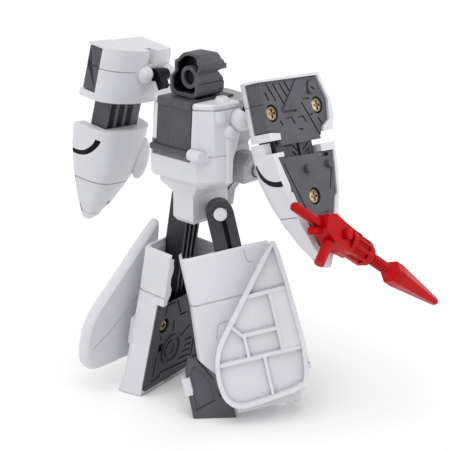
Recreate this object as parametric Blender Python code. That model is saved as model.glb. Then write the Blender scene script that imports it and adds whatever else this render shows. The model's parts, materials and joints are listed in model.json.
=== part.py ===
"""Transforming humanoid robot kit: torso, head, two sliding arms, two sliding legs, wings and a gun.

Every limb is drawn in its own upright frame, in millimetres, with x pointing outward from the
body, y to the robot's back and z up.  A limb's frame is then turned into its pose, and the left
and right limbs come from the same functions with x mirrored.
"""
import math

import bmesh
import bpy
from mathutils import Euler, Matrix, Vector

# ---------------------------------------------------------------- driving dimensions, millimetres
MM = 0.001
GAP = 0.3                      # clearance between neighbouring pieces
RIGHT, LEFT = -1, 1

TORSO_TOP = 106.9
TORSO_BOTTOM = 80.2
TORSO_FRONT = -3.0
CHEST_FRONT = -13.5
FLAP_HALF_WIDTH = 7.9
FLAP_BOTTOM = 89.4
FLAP_HINGE = (0.0, 12.2, 90.3)
CAP_BOTTOM = 104.6
CAP_TOP = 107.2
HEAD_AXIS = (0.0, 0.0, 108.2)

PELVIS_BOTTOM = 64.5
HIP = {RIGHT: (11.3, 1.8, 69.3), LEFT: (11.7, -5.0, 69.2)}         # centre of the thigh's pin
HIP_REACH = {RIGHT: 11.8, LEFT: 9.3}                               # from the pin inward to its ball
LEG_POSE = {RIGHT: (12.5, 7.0, 41.0), LEFT: (-1.0, 8.8, 12.0)}     # stride, splay, toe-out
SHIN_DOWN = {RIGHT: 0.0, LEFT: 4.0}

STRUT_IN, STRUT_OUT = -4.0, 3.2
STRUT_ROUND = 4.5
STRUT_BOTTOM = -44.0
PIN_RADIUS = 2.25
HIP_BALL = 1.6
SHIN_IN, SHIN_OUT = -7.4, 4.2
SHIN_BACK, SHIN_FRONT = 16.6, -14.6
SHIN_TOP, SHIN_FLOOR = -11.9, -67.2
SHIN_GROOVE = -28.0
SHIN_PLATE_TOP = -31.0
WING_HINGE = (5.7, -16.6)      # x outward and y of the wing's upright pin
WING_OPEN = {RIGHT: 0.0, LEFT: 11.0}
WING_SLOPE = 0.22              # the wing's slide rises by this much for each step back
WING_BACK = {RIGHT: 0.0, LEFT: 18.2}
HEEL_HINGE = (0.7, 11.6)

SHOULDER = (17.2, -2.2, 101.2)
ARM_CORNER = {RIGHT: (37.8, 11.6, 118.6), LEFT: (37.8, 14.2, 120.8)}
ARM_POSE = {RIGHT: (3.6, 18.0, -4.0), LEFT: (5.5, 11.0, 8.5)}      # pitch, splay, twist
ARM_BARREL = (-15.4, -21.0, -7.6)
FOREARM_OUT = {RIGHT: 0.0, LEFT: 6.1}
GUN_PIN = (0.0, -18.5, -48.6)  # in the forearm's frame

WHITE = ("white_plastic", (0.78, 0.79, 0.82), 0.38, 0.0)
GREY = ("grey_plastic", (0.115, 0.117, 0.130), 0.42, 0.0)
BLACK = ("black_plastic", (0.012, 0.012, 0.014), 0.35, 0.0)
SILVER = ("silver_paint", (0.42, 0.42, 0.44), 0.36, 0.55)
BRASS = ("brass", (0.66, 0.47, 0.22), 0.28, 1.0)
RED = ("red_plastic", (0.62, 0.012, 0.014), 0.22, 0.0)


# ---------------------------------------------------------------- scene and materials
def clear_scene():
    for item in list(bpy.data.objects):
        bpy.data.objects.remove(item)


def make_material(finish):
    name, colour, roughness, metallic = finish
    material = bpy.data.materials.get(name)
    if material is None:
        material = bpy.data.materials.new(name)
        material.use_nodes = True
        shader = material.node_tree.nodes["Principled BSDF"]
        shader.inputs["Base Color"].default_value = (*colour, 1.0)
        shader.inputs["Roughness"].default_value = roughness
        shader.inputs["Metallic"].default_value = metallic
    return material


# ---------------------------------------------------------------- shapes, in millimetres
def shape_from(bm):
    bmesh.ops.recalc_face_normals(bm, faces=bm.faces)
    mesh = bpy.data.meshes.new("shape")
    bm.to_mesh(mesh)
    bm.free()
    shape = bpy.data.objects.new("shape", mesh)
    bpy.context.scene.collection.objects.link(shape)
    return shape


def loft(rings):
    """A solid through equal rings of points, closed at both ends."""
    bm = bmesh.new()
    rows = [[bm.verts.new(point) for point in ring] for ring in rings]
    count = len(rows[0])
    for lower, upper in zip(rows, rows[1:]):
        for index in range(count):
            after = (index + 1) % count
            bm.faces.new((lower[index], lower[after], upper[after], upper[index]))
    bm.faces.new(rows[0])
    bm.faces.new(list(reversed(rows[-1])))
    return shape_from(bm)


def prism(outline, axis, low, high):
    """An outline extruded along X (outline in y, z), Y (x, z) or Z (x, y)."""
    slot = "XYZ".index(axis)

    def ring(level):
        points = []
        for first, second in outline:
            point = [first, second]
            point.insert(slot, level)
            points.append(point)
        return points
    return loft([ring(low), ring(high)])


def box(low, high):
    corners = [(low[1], low[2]), (high[1], low[2]), (high[1], high[2]), (low[1], high[2])]
    return prism(corners, "X", low[0], high[0])


def turned(start, direction, profile, segments=16):
    """A turned solid: profile is (distance along direction, radius), from end to end."""
    axis = Vector(direction).normalized()
    spin = axis.to_track_quat("Z", "Y").to_matrix()
    rings = []
    for along, radius in profile:
        ring = []
        for step in range(segments):
            angle = math.tau * step / segments
            flat = Vector((math.cos(angle) * radius, math.sin(angle) * radius, along))
            ring.append(Vector(start) + spin @ flat)
        rings.append(ring)
    return loft(rings)


def rod(start, end, radius, segments=16):
    reach = Vector(end) - Vector(start)
    return turned(start, reach, [(0.0, radius), (reach.length, radius)], segments)


def ball(centre, radius, segments=14, rings=8, squash=(1.0, 1.0, 1.0)):
    bm = bmesh.new()
    bmesh.ops.create_uvsphere(bm, u_segments=segments, v_segments=rings, radius=radius)
    for vert in bm.verts:
        for index in range(3):
            vert.co[index] = vert.co[index] * squash[index] + centre[index]
    return shape_from(bm)


def arc(centre, radius, start, end, steps):
    """Points on an arc, angles in degrees."""
    points = []
    for step in range(steps + 1):
        angle = math.radians(start + (end - start) * step / steps)
        points.append((centre[0] + radius * math.cos(angle), centre[1] + radius * math.sin(angle)))
    return points


def grow(outline, margin):
    """The outline moved outward by margin, corners kept sharp."""
    count = len(outline)
    area = sum(outline[i][0] * outline[(i + 1) % count][1] - outline[(i + 1) % count][0] * outline[i][1]
               for i in range(count))
    sign = 1.0 if area > 0 else -1.0
    moved = []
    for index, here in enumerate(outline):
        before = Vector(outline[index - 1])
        after = Vector(outline[(index + 1) % count])
        point = Vector(here)
        first = (point - before).normalized()
        second = (after - point).normalized()
        normal_one = Vector((first.y, -first.x)) * sign
        normal_two = Vector((second.y, -second.x)) * sign
        middle = (normal_one + normal_two).normalized()
        moved.append(tuple(point + middle * margin / max(middle.dot(normal_one), 0.4)))
    return moved


def combine(shape, tools, operation):
    """Boolean every tool with the shape, keep the result and drop the tools."""
    for tool in tools:
        modifier = shape.modifiers.new("cut", "BOOLEAN")
        modifier.operation = operation
        modifier.solver = "EXACT"
        modifier.object = tool
    bpy.context.view_layer.update()
    graph = bpy.context.evaluated_depsgraph_get()
    mesh = bpy.data.meshes.new_from_object(shape.evaluated_get(graph))
    shape.modifiers.clear()
    shape.data = mesh
    for tool in tools:
        bpy.data.objects.remove(tool)
    return shape


def cut(shape, *tools):
    return combine(shape, tools, "DIFFERENCE")


def fuse(shape, *tools):
    return combine(shape, tools, "UNION")


def common(shape, tool):
    return combine(shape, [tool], "INTERSECT")


# ---------------------------------------------------------------- limbs, bodies and nodes
class Limb:
    """A limb's upright frame in the world, with the side that mirrors its x."""

    def __init__(self, side, corner, turns):
        pitch, splay, twist = (math.radians(angle) for angle in turns)
        spin = Euler((pitch, -side * splay, side * twist), "XYZ").to_matrix().to_4x4()
        self.side = side
        self.matrix = Matrix.Translation((side * corner[0], corner[1], corner[2])) @ spin

    def point(self, local):
        return self.matrix @ Vector((self.side * local[0], local[1], local[2]))

    def moved(self, offset):
        other = Limb.__new__(Limb)
        other.side = self.side
        shift = Matrix.Translation((self.side * offset[0], offset[1], offset[2]))
        other.matrix = self.matrix @ shift
        return other

    def swung(self, pivot, degrees):
        """The frame turned about an upright line through pivot (x, y); positive swings outward."""
        other = Limb.__new__(Limb)
        other.side = self.side
        centre = Vector((self.side * pivot[0], pivot[1], 0.0))
        turn = Matrix.Rotation(math.radians(-self.side * degrees), 4, "Z")
        other.matrix = self.matrix @ Matrix.Translation(centre) @ turn @ Matrix.Translation(-centre)
        return other


def add_body(name, limb, pivot, parent):
    """An empty on the body's joint axis, turned with its limb."""
    empty = bpy.data.objects.new("joint_" + name, None)
    empty.empty_display_size = 0.004
    bpy.context.scene.collection.objects.link(empty)
    place = Matrix.Translation(limb.point(pivot) * MM) @ limb.matrix.to_3x3().to_4x4()
    empty["world"] = [value for row in place for value in row]
    if parent is None:
        empty.matrix_basis = place
    else:
        empty.parent = parent
        empty.matrix_basis = world_of(parent).inverted() @ place
    return empty


def world_of(empty):
    values = list(empty["world"])
    return Matrix([values[row * 4:row * 4 + 4] for row in range(4)])


def add_node(name, shape, body, limb, finish, sharp=30.0):
    """Carry a shape from its limb's frame onto its body's empty, and finish it."""
    home = world_of(body).inverted()
    for vert in shape.data.vertices:
        vert.co = home @ (limb.point(vert.co) * MM)
    bm = bmesh.new()
    bm.from_mesh(shape.data)
    bmesh.ops.recalc_face_normals(bm, faces=bm.faces)
    bm.to_mesh(shape.data)
    bm.free()
    shape.data.shade_smooth()
    shape.data.set_sharp_from_angle(angle=math.radians(sharp))
    shape.data.materials.clear()
    shape.data.materials.append(make_material(finish))
    shape.name = name
    shape.data.name = name
    shape.parent = body
    return shape


def below_floor(limb):
    """A cutter in the limb's frame that removes all that lies under the ground."""
    shape = box((-90.0, -90.0, -40.0), (90.0, 90.0, 0.0))
    back = limb.matrix.inverted()
    for vert in shape.data.vertices:
        local = back @ vert.co
        vert.co = (limb.side * local.x, local.y, local.z)
    if limb.side < 0:
        shape.data.flip_normals()
    return shape


def screw(centre, direction, radius, length):
    """A countersunk cross-head screw, head first; the cross is a four-armed recess."""
    axis = Vector(direction).normalized()
    inner = -axis
    head = turned(centre, inner, [(0.0, radius * 0.8), (0.25, radius), (0.9, radius),
                                  (1.3, radius * 0.55), (length, radius * 0.5)], 14)
    side_one = Vector((0.0, 1.0, 0.0)) if abs(axis.y) < 0.7 else Vector((1.0, 0.0, 0.0))
    side_two = axis.cross(side_one).normalized()
    for along, across in ((side_one, side_two), (side_two, side_one)):
        ring = []
        for sign_a, sign_b in ((1, 1), (1, -1), (-1, -1), (-1, 1)):
            ring.append(Vector(centre) + along * sign_a * radius * 0.62 + across * sign_b * radius * 0.16)
        head = cut(head, loft([[p + axis * 0.5 for p in ring], [p - axis * 0.6 for p in ring]]))
    return head


# ---------------------------------------------------------------- torso, flap and head
def torso_outline(size, corner, front, back):
    """Plan of the torso: a flat back, slanted corners and straight sides down to the front seam."""
    side = 15.6 + size
    half = [(corner, back), (14.0 + size, 7.2), (side - 0.2, 2.6), (side, front)]
    return half + [(-x, y) for x, y in reversed(half)]


def torso_shell():
    """Levels give height, extra width, half width of the back, and y of the front seam and the back."""
    levels = [(TORSO_BOTTOM, -0.8, 9.9, 1.2, 11.1), (TORSO_BOTTOM + 1.3, 0.6, 10.9, 0.8, 12.0),
              (88.0, 0.6, 10.9, 0.4, 12.1), (91.6, 0.5, 10.2, -1.1, 11.9), (96.0, 0.3, 9.9, TORSO_FRONT, 11.6),
              (104.75, 0.0, 9.2, TORSO_FRONT, 10.9), (104.8, -0.4, 8.8, TORSO_FRONT, 10.5),
              (105.15, -0.4, 8.8, TORSO_FRONT, 10.5), (105.2, 0.0, 9.2, TORSO_FRONT, 10.9),
              (106.3, 0.0, 9.2, TORSO_FRONT, 10.9), (TORSO_TOP, -0.6, 8.7, TORSO_FRONT, 10.4)]
    shape = loft([[(x, y, z) for x, y in torso_outline(*plan)] for z, *plan in levels])
    shape = fuse(shape, *[bump for side in (RIGHT, LEFT) for bump in shoulder_bumps(side)])
    knuckle = prism(arc((12.4, 90.6), 1.9, -90, 200, 8) + [(7.0, 92.5), (7.0, 88.7)], "X", -13.9, -8.6)
    shape = fuse(shape, knuckle)
    wide = FLAP_HALF_WIDTH + GAP
    pocket = box((-wide, 8.9, FLAP_BOTTOM - GAP), (wide, 20.0, 112.0))
    roof = box((-wide, TORSO_FRONT - 4.0, CAP_BOTTOM - GAP), (wide, 20.0, 112.0))
    rim_room = box((-8.2, 9.7, 88.7), (10.1, 16.0, 91.8))
    x, y, z = FLAP_HINGE
    turn_room = rod((x - 8.2, y, z), (x + 10.1, y, z), 2.7)
    sockets = [ball((side * SHOULDER[0], SHOULDER[1], SHOULDER[2]), 2.9) for side in (RIGHT, LEFT)]
    mouths = [mouth for side in (RIGHT, LEFT) for mouth in shoulder_mouths(side)]
    return cut(shape, pocket, roof, rim_room, turn_room, *sockets, *mouths)


def link_direction(side):
    """From a shoulder's socket to the arm's barrel, at rest."""
    barrel = Limb(side, ARM_CORNER[side], ARM_POSE[side]).point(ARM_BARREL)
    return (barrel - Vector((side * SHOULDER[0], SHOULDER[1], SHOULDER[2]))).normalized()


def shoulder_mouths(side):
    """Openings in the socket for the link's neck, above it and toward the arm."""
    start = (side * SHOULDER[0], SHOULDER[1], SHOULDER[2])
    along = turned(start, link_direction(side), [(0.0, 1.7), (3.0, 2.5), (9.0, 4.4)])
    above = turned(start, (side * 0.25, -0.4, 0.9), [(0.0, 1.6), (2.5, 2.3), (9.0, 4.2)])
    return along, above


def shoulder_bumps(side):
    """The round shoulder socket, two bulges behind it, the rib that runs down and a stud on top."""
    socket = ball((side * SHOULDER[0], SHOULDER[1], SHOULDER[2]), 3.8, 18, 12)
    upper = turned((side * 13.3, 4.1, 99.3), (0, 0, 1), [(0.0, 0.8), (0.5, 1.8), (1.4, 2.6), (2.6, 2.9), (5.3, 2.6)], 18)
    lower = ball((side * 15.0, 1.2, 97.0), 2.7)
    rib = prism([(side * 13.0, 3.5), (side * 16.2, 3.5), (side * 16.7, 3.0), (side * 16.7, 1.3),
                 (side * 13.0, 1.3)], "Z", TORSO_BOTTOM + 0.5, 95.6)
    stud = turned((side * 11.2, 0.6, TORSO_TOP - 1.0), (0, 0, 1), [(0.0, 2.7), (1.0, 2.7), (2.3, 1.8)])
    return socket, upper, lower, rib, stud


def chest_front():
    half = [(0.0, 82.6), (10.2, 82.6), (10.2, 87.6), (9.4, 90.2), (12.6, 95.2), (13.4, 106.2), (0.0, 107.0)]
    outline = half + [(-x, z) for x, z in reversed(half[1:-1])]
    shape = prism(outline, "Y", CHEST_FRONT, 2.0)
    seam = TORSO_FRONT - GAP
    behind = prism([(seam, 112.0), (seam, 96.0), (-1.4, 91.6), (0.1, 88.0), (0.5, 81.5), (0.5, 70.0),
                    (20.0, 70.0), (20.0, 112.0)], "X", -30.0, 30.0)
    shape = cut(shape, behind)
    breast = loft([[(-9.6, CHEST_FRONT + 0.4, 91.5), (9.6, CHEST_FRONT + 0.4, 91.5),
                    (11.4, CHEST_FRONT + 0.4, 105.0), (-11.4, CHEST_FRONT + 0.4, 105.0)],
                   [(-5.4, -16.2, 93.2), (5.4, -16.2, 93.2), (8.6, -16.2, 103.2), (-8.6, -16.2, 103.2)]])
    belly = prism([(-5.6, 80.6), (5.6, 80.6), (7.2, 89.6), (-7.2, 89.6)], "Y", -15.0, CHEST_FRONT + 0.4)
    shape = fuse(shape, breast, belly)
    vents = [box((side * 7.8 - 2.2, -18.0, 95.0 + 2.4 * row), (side * 7.8 + 2.2, -13.9, 96.1 + 2.4 * row))
             for side in (RIGHT, LEFT) for row in range(3)]
    ribs = [box((-3.6, -17.0, 82.0 + 2.3 * row), (3.6, -14.3, 83.1 + 2.3 * row)) for row in range(3)]
    room = FLAP_HALF_WIDTH + GAP
    sockets = [ball((side * SHOULDER[0], SHOULDER[1], SHOULDER[2]), 4.6) for side in (RIGHT, LEFT)]
    mouths = [mouth for side in (RIGHT, LEFT) for mouth in shoulder_mouths(side)]
    cap_room = box((-room, -8.4, CAP_BOTTOM - GAP), (room, 0.0, 112.0))
    return cut(shape, cap_room, *sockets, *mouths, *vents, *ribs)


def nacelle(side):
    """The six-sided engine box on the chest's lower corner, with its chamfered outer end."""
    outline = [(-4.2, 78.9), (-4.2, 85.0), (-7.4, 88.3), (-11.2, 88.3), (-14.2, 84.6),
               (-14.2, 79.9), (-13.0, 78.9)]
    smaller = grow(outline, -0.8)
    inside, near, far = 10.5, 16.4, 17.2
    rings = [[(side * x, y, z) for y, z in points]
             for x, points in ((inside, outline), (near, outline), (far, smaller))]
    shape = loft(rings)
    seat = rod((side * 16.3, -9.6, 82.8), (side * 20.0, -9.6, 82.8), 2.5)
    panel = [Vector((side * x, y, z)) for x, y, z in
             ((12.6, -5.6, 86.9), (15.8, -5.6, 86.9), (15.8, -6.6, 88.1), (12.6, -6.6, 88.1))]
    notch = loft([panel, [p + Vector((0.0, 0.5, 0.5)) for p in panel]])
    return cut(shape, seat, notch)


def turbine(side):
    start = (side * 16.5, -9.6, 82.8)
    return turned(start, (side, 0, 0), [(0.0, 2.1), (1.5, 2.1), (2.0, 1.7), (2.1, 1.0), (1.8, 0.8)], 18)


def pelvis():
    top = [(-8.6, -8.5), (8.6, -8.5), (8.6, 10.0), (-8.6, 10.0)]
    low = [(-4.8, -8.5), (4.8, -8.5), (4.8, 7.7), (-4.8, 7.7)]
    small = [(-3.8, -7.5), (3.8, -7.5), (3.8, 6.6), (-3.8, 6.6)]
    stack = ((TORSO_BOTTOM - GAP, top), (78.2, top), (74.6, low), (66.0, low), (PELVIS_BOTTOM, small))
    return loft([[(x, y, z) for x, y in ring] for z, ring in stack])


def pelvis_front():
    """The silver guard in front of the hips."""
    half = [(0.0, 66.2), (3.2, 67.4), (4.4, 73.0), (8.4, 78.2), (8.4, TORSO_BOTTOM - GAP)]
    outline = half + [(-x, z) for x, z in reversed(half[1:])]
    shape = prism(outline, "Y", -12.6, -8.8)
    boss = rod((0.0, -13.6, 74.4), (0.0, -12.0, 74.4), 2.3, 6)
    return fuse(shape, boss)


def back_flap():
    plate = prism([(9.3, CAP_BOTTOM + 0.5), (10.9, CAP_BOTTOM + 0.5), (12.1, 91.0), (12.1, FLAP_BOTTOM),
                   (10.5, FLAP_BOTTOM), (10.5, 91.0)], "X", -FLAP_HALF_WIDTH, FLAP_HALF_WIDTH)
    cap = prism([(-8.0, CAP_TOP), (-8.0, CAP_BOTTOM), (11.2, CAP_BOTTOM), (11.4, CAP_BOTTOM + 0.6),
                 (11.4, CAP_TOP - 0.5), (10.9, CAP_TOP)], "X", -FLAP_HALF_WIDTH, FLAP_HALF_WIDTH)
    rim = prism([(10.6, 89.4), (13.0, 89.4), (13.4, 89.8), (13.4, 91.0), (13.0, 91.4), (10.6, 91.4)],
                "X", -FLAP_HALF_WIDTH, 9.8)
    shape = fuse(plate, cap, rim)
    slot = box((-4.4, 7.5, CAP_TOP - 0.6), (4.4, 8.5, 110.0))
    neck = rod((0, 0, CAP_TOP - 1.2), (0, 0, 110.0), 2.6)
    return cut(shape, slot, neck)


HELMET_SIDE = [(7.0, 107.5), (7.0, 113.6), (5.9, 115.1), (5.3, 116.6), (5.0, 118.4), (4.2, 119.6), (3.4, 121.1),
               (-2.0, 121.7), (-4.9, 120.9), (-5.6, 118.0), (-5.4, 116.0), (-3.4, 115.2), (-4.5, 113.4),
               (-5.2, 111.6), (-4.8, 107.5)]


def helmet_outline(scale=1.0):
    """The helmet seen from behind, in x and z: lower guard, a pinch, side ridges and crown."""
    half = [(4.6, 107.5), (6.0, 108.3), (6.4, 109.6), (6.4, 113.2), (5.3, 115.1), (6.0, 116.6), (6.1, 118.4),
            (4.9, 119.1), (4.6, 119.9), (3.4, 121.0), (1.4, 121.6)]
    outline = half + [(-x, z) for x, z in reversed(half)]
    return [(x * scale, 114.4 + (z - 114.4) * scale) for x, z in outline]


def head_shell():
    """Helmet and brow, hollow from behind with a ring inside."""
    shape = common(prism(helmet_outline(), "Y", -9.0, 9.0), prism(HELMET_SIDE, "X", -9.0, 9.0))
    hollow = prism([(x, max(z, 108.6)) for x, z in helmet_outline(0.83)], "Y", 1.6, 9.0)
    ring = turned((0.0, 0.6, 113.4), (0, 1, 0), [(0.0, 3.75), (4.0, 3.75)], 20)
    bore = turned((0.0, 1.6, 113.4), (0, 1, 0), [(0.0, 2.5), (6.0, 2.5)], 20)
    brow = box((-5.5, -7.2, 115.6), (5.5, -4.0, 117.3))
    neck = rod((0, 0, CAP_TOP - 0.9), (0, 0, 109.0), 2.2)
    shape = cut(shape, hollow)
    shape = fuse(shape, ring, brow, neck)
    window = box((-4.3, -9.0, 108.6), (4.3, -3.2, 115.3))
    ridges = [box((side * 6.6 - 0.5, -9.0, 111.9), (side * 6.6 + 0.5, 5.6, 112.4)) for side in (RIGHT, LEFT)]
    return cut(shape, bore, window, *ridges)


def face_plate():
    """Mouth guard and cheeks in the helmet's window, of a plain generic design."""
    outline = [(-4.0, 109.5), (-2.4, 108.9), (2.4, 108.9), (4.0, 109.5), (4.0, 112.6), (-4.0, 112.6)]
    shape = prism(outline, "Y", -6.0, -3.9)
    chin = loft([[(-2.6, -5.8, 109.2), (2.6, -5.8, 109.2), (3.2, -5.8, 112.3), (-3.2, -5.8, 112.3)],
                 [(-1.0, -7.0, 109.5), (1.0, -7.0, 109.5), (1.4, -7.0, 111.8), (-1.4, -7.0, 111.8)]])
    return fuse(shape, chin)


def visor():
    outline = [(-3.9, 112.9), (3.9, 112.9), (3.9, 115.0), (-3.9, 115.0)]
    return prism(outline, "Y", -5.0, -3.9)


def build_torso():
    limb = Limb(LEFT, (0.0, 0.0, 0.0), (0.0, 0.0, 0.0))
    torso = add_body("torso", limb, (0.0, 0.0, 0.0), None)
    add_node("torso_shell", torso_shell(), torso, limb, WHITE)
    add_node("chest_front", chest_front(), torso, limb, SILVER)
    for side, word in ((RIGHT, "right"), (LEFT, "left")):
        add_node("nacelle_" + word, nacelle(side), torso, limb, SILVER)
        add_node("turbine_" + word, turbine(side), torso, limb, SILVER)
    add_node("pelvis_front", pelvis_front(), torso, limb, SILVER)
    flap = add_body("back_flap", limb, FLAP_HINGE, torso)
    add_node("back_flap", back_flap(), flap, limb, GREY)
    head = add_body("head", limb, HEAD_AXIS, flap)
    add_node("head_shell", head_shell(), head, limb, GREY)
    add_node("face_plate", face_plate(), head, limb, SILVER)
    add_node("visor", visor(), head, limb, RED)
    return torso, limb


# ---------------------------------------------------------------- arms
ARM_PLATE = [(-0.2, -0.4), (-27.1, -0.7), (-30.2, -8.6), (-29.2, -14.6), (-25.8, -16.4),
             (-24.4, -20.3), (-5.0, -20.1), (-5.0, -16.0), (-0.2, -15.3)]
ARM_SIDE = [(0.3, 0.6), (-28.3, 0.6), (-31.8, -8.6), (-32.2, -13.4), (-30.2, -18.2), (0.3, -18.2)]
ARM_PLAN = [(0.7, 0.3), (-5.6, 0.2), (-8.6, -1.3), (-11.5, -5.2), (-13.4, -11.5), (-13.8, -20.0),
            (-12.6, -29.0), (-10.0, -33.0), (0.7, -33.0)]
ARM_SCREWS = ((-3.6, -9.9), (-25.6, -9.7))
LINK_X, LINK_Y = (-9.0, -2.4), (-22.5, -5.1)
LINK_BOTTOM = -33.0
FOREARM_PLATE = [(-2.2, -23.7), (-28.4, -24.8), (-26.4, -38.0), (-25.2, -38.8), (-22.8, -44.8),
                 (-17.6, -52.6), (-14.4, -52.6), (-10.9, -46.8), (-7.2, -38.7)]
FOREARM_SCREW = (-16.0, -37.5)
FOREARM_PEGS = ((-14.6, -28.8), (-25.4, -28.6))


def upper_arm_shell():
    shape = common(prism(ARM_SIDE, "X", -20.0, 5.0), prism(ARM_PLAN, "Z", -25.0, 5.0))
    x, y, z = ARM_BARREL
    knuckles = [ball((x + 1.6, y + 6.4, z), 3.1), ball((x + 1.6, y - 6.0, z), 3.0)]
    shape = fuse(shape, *knuckles)
    room = rod((x, y - 3.6, z), (x, y + 3.6, z), 2.6, 12)
    swing_room = box((x - 6.0, y - 3.6, z - 1.4), (x + 1.4, y + 3.6, z + 4.4))
    notch = box((-16.0, y + 2.2, z + 3.0), (-10.6, y + 5.4, 3.0))
    plate_room = prism(grow(ARM_PLATE, GAP), "X", -1.7, 3.0)
    strip_room = box((-5.7, -1.7, -15.7), (3.0, 3.0, -0.1))
    link_room = box((LINK_X[0] - GAP, LINK_Y[0] - GAP, -25.0), (3.0, LINK_Y[1] + GAP, -11.5))
    wells = [rod((-6.6, sy, sz), (0.0, sy, sz), 1.5, 12) for sy, sz in ARM_SCREWS]
    shape = cut(shape, plate_room, strip_room, link_room, room, swing_room, notch)
    return cut(shape, *wells)


def upper_arm_plate():
    """The grey cover, with the strip that wraps round the back edge and recesses for screws."""
    shape = prism(ARM_PLATE, "X", -1.4, -0.1)
    strip = box((-5.4, -1.4, -15.3), (-0.1, -0.2, -0.4))
    shape = fuse(shape, strip)
    band = prism([(-17.2, -0.9), (-22.6, -0.9), (-21.6, -3.1), (-20.9, -6.0), (-18.3, -7.8), (-15.3, -9.9),
                  (-8.4, -9.7), (-9.1, -8.9)], "X", -0.6, 0.3)
    disc = rod((-0.5, -24.3, -3.8), (0.35, -24.3, -3.8), 2.0)
    shape = fuse(shape, band, disc)
    holes = [rod((-4.0, sy, sz), (2.0, sy, sz), 2.5) for sy, sz in ARM_SCREWS]
    return cut(shape, *holes)


def arm_screw(spot):
    return screw((-0.5, spot[0], spot[1]), (1, 0, 0), 2.1, 5.6)


def shoulder_link(limb, side):
    """Black link from the torso's socket to the barrel between the arm's knuckles."""
    x, y, z = ARM_BARREL
    barrel = rod((x, y - 3.3, z), (x, y + 3.3, z), 2.15, 14)
    socket = limb.matrix.inverted() @ Vector((side * SHOULDER[0], SHOULDER[1], SHOULDER[2]))
    socket = Vector((side * socket.x, socket.y, socket.z))
    centre = Vector(ARM_BARREL)
    reach = socket - centre
    across = Vector((0.0, 1.0, 0.0))
    up = reach.cross(across).normalized()
    flat = up.cross(reach).normalized()
    ring = [up * 1.25 + flat * 1.7, up * 1.25 - flat * 1.7, -up * 1.25 - flat * 1.7, -up * 1.25 + flat * 1.7]
    shaft = loft([[centre + reach * 0.04 + p for p in ring], [centre + reach * 0.62 + p for p in ring],
                  [centre + reach * 0.9 + p * 0.6 for p in ring]])
    hub = ball(socket, 2.5, 12, 8)
    upright = limb.matrix.to_3x3().inverted() @ Vector((side * 0.25, -0.4, 0.9))
    post = turned(socket, (side * upright.x, upright.y, upright.z), [(1.0, 1.3), (5.6, 1.3), (6.2, 0.9)], 12)
    return fuse(barrel, shaft, hub, post)


def elbow_link():
    """Grey telescoping bar: three long slots on the inner face and one on the outer."""
    shape = box((LINK_X[0], LINK_Y[0], LINK_BOTTOM), (LINK_X[1], LINK_Y[1], -12.0))
    slots = [box((-12.0, y, LINK_BOTTOM + 2.0), (-7.2, y + 2.8, -19.5)) for y in (-18.2, -13.6, -9.0)]
    outer = box((-3.8, -16.2, LINK_BOTTOM + 2.0), (0.0, -15.0, -14.0))
    return cut(shape, *slots, outer)


def forearm_ring(level, back, front, depth):
    """One D-shaped section of the half cone: flat outside, round inside."""
    middle = (back + front) / 2
    half = (back - front) / 2
    points = [(0.6, back, level)]
    for step in range(13):
        angle = math.pi * step / 12
        cosine = math.copysign(abs(math.cos(angle)) ** 0.65, math.cos(angle))
        points.append((-depth * abs(math.sin(angle)) ** 0.7, middle + half * cosine, level))
    points.append((0.6, front, level))
    return points


def forearm_shell(guard):
    """The half cone; with the guard, its inner back corner reaches up to the upper arm."""
    sections = [(-22.0, 0.2, -30.0, 13.6), (-30.0, -0.9, -29.4, 13.8), (-38.0, -3.6, -27.6, 12.6),
                (-45.0, -6.4, -25.0, 10.4), (-52.0, -9.8, -21.6, 7.4), (-57.0, -12.6, -18.8, 4.6),
                (-59.4, -14.2, -17.2, 2.6), (-60.2, -15.0, -16.4, 1.2)]
    shape = loft([forearm_ring(*section) for section in sections])
    thumb = ball((-12.0, -24.4, -34.0), 3.6, squash=(0.8, 0.9, 2.2))
    shape = fuse(shape, thumb)
    if guard:
        collar = loft([forearm_ring(level, 0.13, -29.9, 13.5) for level in (-22.7, -18.7)])
        corner = prism([(-20.0, 4.0), (-3.2, 4.0), (-3.2, -3.6), (-10.0, -4.4), (-10.0, -11.5), (-20.0, -11.5)],
                       "Z", -23.0, -18.0)
        shape = fuse(shape, common(collar, corner))
    lower = grow(FOREARM_PLATE, GAP)
    plate_room = prism(lower, "X", -1.7, 3.0)
    link_room = box((LINK_X[0] - GAP, LINK_Y[0] - GAP, LINK_BOTTOM - 1.7), (3.0, LINK_Y[1] + GAP, -15.0))
    fist = prism([(-9.6, -44.0), (-13.6, -54.8), (-15.4, -54.8), (-13.0, -44.0)], "X", -4.0, 3.0)
    peg_room = rod((-4.4, GUN_PIN[1], GUN_PIN[2]), (4.0, GUN_PIN[1], GUN_PIN[2]), 2.0, 14)
    well = rod((-6.4, *FOREARM_SCREW), (0.0, *FOREARM_SCREW), 1.5, 12)
    return cut(shape, plate_room, link_room, fist, peg_room, well)


def forearm_plate():
    shape = prism(FOREARM_PLATE, "X", -1.4, 0.1)
    pegs = [turned((-0.6, y, z), (1, 0, 0), [(0.0, 1.35), (1.9, 1.3), (2.2, 0.9)], 14) for y, z in FOREARM_PEGS]
    shape = fuse(shape, *pegs)
    hole = rod((-4.0, *FOREARM_SCREW), (2.0, *FOREARM_SCREW), 2.5)
    slot = box((-4.0, -26.4, -26.0), (2.0, -21.6, -24.9))
    peg_hole = rod((-4.0, GUN_PIN[1], GUN_PIN[2]), (2.0, GUN_PIN[1], GUN_PIN[2]), 2.0, 14)
    return cut(shape, hole, slot, peg_hole)


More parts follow.
